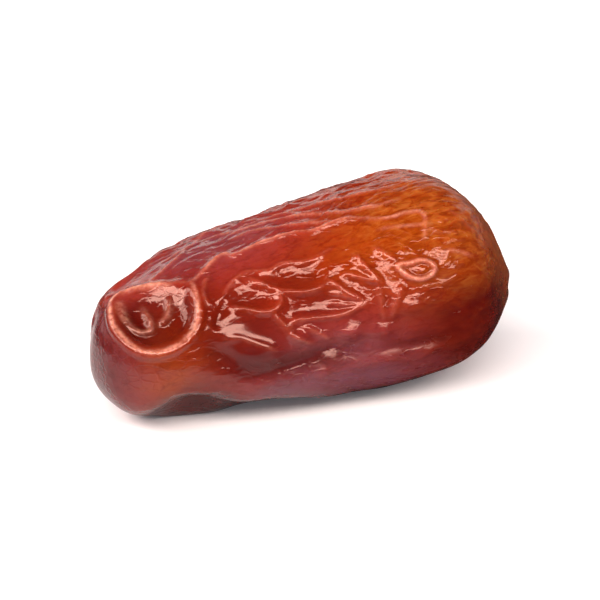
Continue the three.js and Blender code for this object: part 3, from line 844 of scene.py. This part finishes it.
bent = wiring.add("ShaderNodeVectorMath", {"operation": "ADD"})
wiring.feed(bent.inputs[0], lengthwise)
bend = wiring.add("ShaderNodeTexNoise", Vector=in_mm, Scale=0.6, Detail=2.0).outputs["Color"]
wiring.feed(bent.inputs[1], bend)
cells = wiring.add("ShaderNodeTexVoronoi", {"feature": "DISTANCE_TO_EDGE"}, Vector=bent.outputs[0], Scale=1.3)
crinkle = wiring.remap(cells.outputs["Distance"], 0.0, 0.16, 1.0, 0.0)
crinkle = wiring.math("MULTIPLY", crinkle, wiring.attribute("crinkled"))
crinkle_bump = wiring.add("ShaderNodeBump", Strength=0.6, Distance=CRINKLE_DEPTH, Height=crinkle)
grain_bump = wiring.add("ShaderNodeBump", Strength=0.7, Distance=GRAIN_DEPTH, Height=grain,
                        Normal=crinkle_bump.outputs[0])
print("roughness from", MIRROR_ROUGHNESS, "to", DULL_ROUGHNESS)

# %% [markdown]
# The flesh lets light in and scatters it, most of all red light, which is why the thin places glow. The
# subsurface settings say how far each colour travels: red a millimetre and a half, blue hardly at all.

# %% Skin material: the shader
shader = wiring.add("ShaderNodeBsdfPrincipled", Base_Color=colour, Roughness=roughness,
                    Normal=grain_bump.outputs[0], Coat_Weight=coat)
shader.inputs["IOR"].default_value = 1.46
shader.inputs["Coat Roughness"].default_value = COAT_ROUGHNESS
shader.inputs["Coat IOR"].default_value = 1.5
shader.inputs["Subsurface Weight"].default_value = 0.45
shader.inputs["Subsurface Radius"].default_value = (1.0, 0.28, 0.08)
shader.inputs["Subsurface Scale"].default_value = 1.5 * MM
surface = wiring.add("ShaderNodeOutputMaterial")
wiring.feed(surface.inputs["Surface"], shader.outputs[0])
skin.data.materials.append(material)

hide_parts("date_fruit")
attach(skin, "root")
print("skin material:", len(material.node_tree.nodes), "nodes")

# %% [markdown]
# ## The studio
#
# The date lies on a white sheet under soft light. Its gloss shows what is round it, so the studio is built as
# much for the reflections as for the light. Here the walls and the sheet are bright on one side only, and a
# node group says how far a direction lies towards that side. The sheet and the room both use it.

# %% The lit side
side_light = bpy.data.node_groups.new("side_light", "ShaderNodeTree")
for name in ("Vector", "Toward"):
    side_light.interface.new_socket(name, in_out="INPUT", socket_type="NodeSocketVector")
for name in ("From", "To"):
    side_light.interface.new_socket(name, in_out="INPUT", socket_type="NodeSocketFloat")
side_light.interface.new_socket("Lit", in_out="OUTPUT", socket_type="NodeSocketFloat")
side = Wiring(side_light)
given = side.add("NodeGroupInput").outputs
flat = side.add("ShaderNodeVectorMath", {"operation": "MULTIPLY"})
side.feed(flat.inputs[0], given["Vector"])
side.feed(flat.inputs[1], (1, 1, 0))
level = side.add("ShaderNodeVectorMath", {"operation": "NORMALIZE"})
side.feed(level.inputs[0], flat.outputs[0])
facing = side.add("ShaderNodeVectorMath", {"operation": "DOT_PRODUCT"})
side.feed(facing.inputs[0], level.outputs[0])
side.feed(facing.inputs[1], given["Toward"])
lit_share = side.remap(facing.outputs["Value"], given["From"], given["To"])
side.feed(side.add("NodeGroupOutput").inputs["Lit"], lit_share)
print("side_light:", len(side_light.nodes), "nodes")

# %% [markdown]
# A white sheet would be mirrored all over the lower half of the date and turn its red to milk. So a mirrored
# ray meets a sheet that is nearly black, but for the part at the left that lies close to the date: that part
# gives the mauve sheen along the belly. Far off, where only a low view sees it, the sheet glows, so that it
# runs into the white room.

# %% Floor
FLOOR_SIZE = 8.0

bpy.ops.object.select_all(action="DESELECT")
bpy.ops.mesh.primitive_plane_add(size=FLOOR_SIZE)
floor = bpy.context.object
floor.name = "floor"
print("floor:", FLOOR_SIZE, "m square")

# %% [markdown]
# The sheet's finish mixes two: a bright one for the camera and for mirrored rays that meet the lit part, and
# another for the rest, which is nearly black to a mirrored ray. The light that the sheet throws back on the
# date comes from the second one too, and for that it is a light grey.

# %% White sheet
FLOOR_LIT_TURN = math.radians(-110)
FLOOR_LIT_FROM = -0.8
FLOOR_LIT_TO = 0.2
SHEET_WHITE = (0.95, 0.94, 0.97, 1.0)
SHEET_GLOW = (0.95, 0.93, 1.0, 1.0)
SHEET_GLOW_STRENGTH = 0.06
FAR_GLOW_STRENGTH = 0.9
FAR_START = 0.15
FAR_END = 0.5
GLOSS_SHARE = 0.5
NEAR_SHAPE = (0.45, 1.0, 0.0)
NEAR_FULL = 24 * MM
NEAR_END = 52 * MM
BOUNCE_WHITE = (0.75, 0.72, 0.74, 1.0)
GLOSS_BLACK = (0.03, 0.03, 0.03, 1.0)

paper = bpy.data.materials.new("white_sheet")
paper.use_nodes = True
paper_wiring = Wiring(paper.node_tree)
floor_place = paper_wiring.add("ShaderNodeTexCoord").outputs["Object"]
lit = paper_wiring.add("ShaderNodeGroup", {"node_tree": side_light}, Vector=floor_place,
                       Toward=direction_from(FLOOR_LIT_TURN, 0), From=FLOOR_LIT_FROM,
                       To=FLOOR_LIT_TO).outputs[0]
sheet_ray = paper_wiring.add("ShaderNodeLightPath").outputs
stretched = paper_wiring.add("ShaderNodeVectorMath", {"operation": "MULTIPLY"})
paper_wiring.feed(stretched.inputs[0], floor_place)
paper_wiring.feed(stretched.inputs[1], NEAR_SHAPE)
reach = paper_wiring.length(stretched.outputs[0])
near = paper_wiring.remap(reach, NEAR_FULL, NEAR_END, GLOSS_SHARE, 0.0)
in_gloss = paper_wiring.math("MULTIPLY", sheet_ray["Is Glossy Ray"], paper_wiring.math("MULTIPLY", lit, near))
bright = paper_wiring.math("ADD", sheet_ray["Is Camera Ray"], in_gloss, clamp=True)
sheet = paper_wiring.add("ShaderNodeBsdfDiffuse", Color=SHEET_WHITE)
glow_strength = paper_wiring.remap(paper_wiring.length(floor_place), FAR_START, FAR_END,
                                   SHEET_GLOW_STRENGTH, FAR_GLOW_STRENGTH)
glow = paper_wiring.add("ShaderNodeEmission", Color=SHEET_GLOW, Strength=glow_strength)
lit_sheet = paper_wiring.add("ShaderNodeAddShader")
paper_wiring.feed(lit_sheet.inputs[0], sheet.outputs[0])
paper_wiring.feed(lit_sheet.inputs[1], glow.outputs[0])
unlit_colour = paper_wiring.mix(sheet_ray["Is Glossy Ray"], BOUNCE_WHITE, GLOSS_BLACK)
dark_sheet = paper_wiring.add("ShaderNodeBsdfDiffuse", Color=unlit_colour)
seen = paper_wiring.add("ShaderNodeMixShader", Fac=bright)
paper_wiring.feed(seen.inputs[1], dark_sheet.outputs[0])
paper_wiring.feed(seen.inputs[2], lit_sheet.outputs[0])
paper_wiring.feed(paper_wiring.add("ShaderNodeOutputMaterial").inputs["Surface"], seen.outputs[0])
floor.data.materials.append(paper)
print("white_sheet:", len(paper.node_tree.nodes), "nodes")

# %% [markdown]
# There are three soft boxes: a long one in front and above, which draws the crisp highlights on the ridges,
# one at the left for the tip and its rim, and a weak low one behind for the sheen on the top edge. A lamp's
# power is worked out from the brightness that its face should have, so that its reflection is the same
# whatever its size. A highlight on a syrupy skin is warmer than the lamp, so each box is two lamps: one only
# lights the skin, and the other, a little nearer so that the first doesn't hide it, only shows in the gloss.
# A box's turn and rise are in degrees, and so are its half width and half height, as the date sees them.

# %% Lamps
SoftBox = namedtuple("SoftBox", "name turn rise distance half_width half_height brightness colour "
                                "gloss_colour")
SOFT_BOXES = [
    SoftBox("key_box", -28, 43, 0.50, 46, 10, 9.8, (1.0, 0.87, 0.79), (1.19, 0.70, 0.56)),
    SoftBox("left_box", -102, 42, 0.50, 27, 12, 6.0, (1.0, 0.88, 0.82), (0.98, 0.64, 0.54)),
    SoftBox("back_box", 155, 16, 0.60, 35, 8, 0.9, (1.0, 0.88, 0.85), (1.0, 0.82, 0.74)),
]
GLOSS_LAMP_PLACE = 0.97


def add_lamp(box, name, colour, share_of_distance=1.0):
    """One soft box as a rectangular lamp that faces the date."""
    distance = box.distance * share_of_distance
    toward = direction_from(math.radians(box.turn), math.radians(box.rise))
    bpy.ops.object.select_all(action="DESELECT")
    bpy.ops.object.light_add(type="AREA", location=SHOT_AIM + toward * distance, rotation=look_along(toward))
    lamp = bpy.context.object
    lamp.name = name
    lamp.data.shape = "RECTANGLE"
    lamp.data.size = 2 * distance * math.tan(math.radians(box.half_width))
    lamp.data.size_y = 2 * distance * math.tan(math.radians(box.half_height))
    lamp.data.energy = box.brightness * math.pi * lamp.data.size * lamp.data.size_y
    lamp.data.color = colour
    return lamp


for box in SOFT_BOXES:
    soft = add_lamp(box, box.name, box.colour)
    soft.visible_glossy = False
    mirrored = add_lamp(box, box.name + "_in_gloss", box.gloss_colour, GLOSS_LAMP_PLACE)
    mirrored.visible_diffuse = False
    print(box.name, "power in watts:", round(soft.data.energy, 2))

# %% [markdown]
# The room gives soft light from above, and the camera sees it plain white. In the gloss it is dark, apart
# from a wall at the left, one in front and one behind, which fade towards their sides and upwards.

# %% Room
Wall = namedtuple("Wall", "turn start full top fade brightness")
WALLS = [
    Wall(-100, 0.1, 0.9, 0.1, 0.6, 0.12),
    Wall(-60, -0.1, 0.9, -0.1, 0.75, 0.18),
    Wall(160, 0.0, 0.8, 0.0, 0.5, 0.5),
]
ROOM_COLOUR = (1.0, 0.99, 1.0, 1.0)
ROOM_LIGHT = (0.38, 0.45)
ROOM_LIGHT_TOP = 0.8
ROOM_GLOSS = 0.04
ROOM_SEEN = 1.0

world = bpy.data.worlds.new("room")
world.use_nodes = True
bpy.context.scene.world = world
room = Wiring(world.node_tree)
toward = room.add("ShaderNodeTexCoord").outputs["Generated"]
up = room.add("ShaderNodeSeparateXYZ", Vector=toward).outputs["Z"]


def in_gloss_of(wall):
    """Gloss brightness of one wall of the room."""
    lit_side = room.add("ShaderNodeGroup", {"node_tree": side_light}, Vector=toward, From=wall.start,
                        To=wall.full, Toward=direction_from(math.radians(wall.turn), 0)).outputs[0]
    return room.math("MULTIPLY", lit_side, room.remap(up, wall.top, wall.fade, wall.brightness, 0.0))


gloss = ROOM_GLOSS
for wall in WALLS:
    gloss = room.math("ADD", gloss, in_gloss_of(wall))
room_ray = room.add("ShaderNodeLightPath").outputs
strength = room.add("ShaderNodeMix", {"data_type": "FLOAT"})
room.feed(strength.inputs[0], room_ray["Is Glossy Ray"])
room.feed(strength.inputs[2], room.remap(up, 0.0, ROOM_LIGHT_TOP, *ROOM_LIGHT))
room.feed(strength.inputs[3], gloss)
seen_strength = room.add("ShaderNodeMix", {"data_type": "FLOAT"})
room.feed(seen_strength.inputs[0], room_ray["Is Camera Ray"])
room.feed(seen_strength.inputs[2], strength.outputs[0])
room.feed(seen_strength.inputs[3], ROOM_SEEN)
air = room.add("ShaderNodeBackground", Color=ROOM_COLOUR, Strength=seen_strength.outputs[0])
room.feed(room.add("ShaderNodeOutputWorld").inputs["Surface"], air.outputs[0])
print("room:", len(WALLS), "walls in the gloss")

# %% [markdown]
# The picture keeps its colours only without a film curve, because such a curve greys the deep reds. So the
# view transform is the plain one.

# %% View
bpy.context.scene.view_settings.view_transform = "Standard"
bpy.context.scene.view_settings.look = "None"
print("view transform:", bpy.context.scene.view_settings.view_transform)
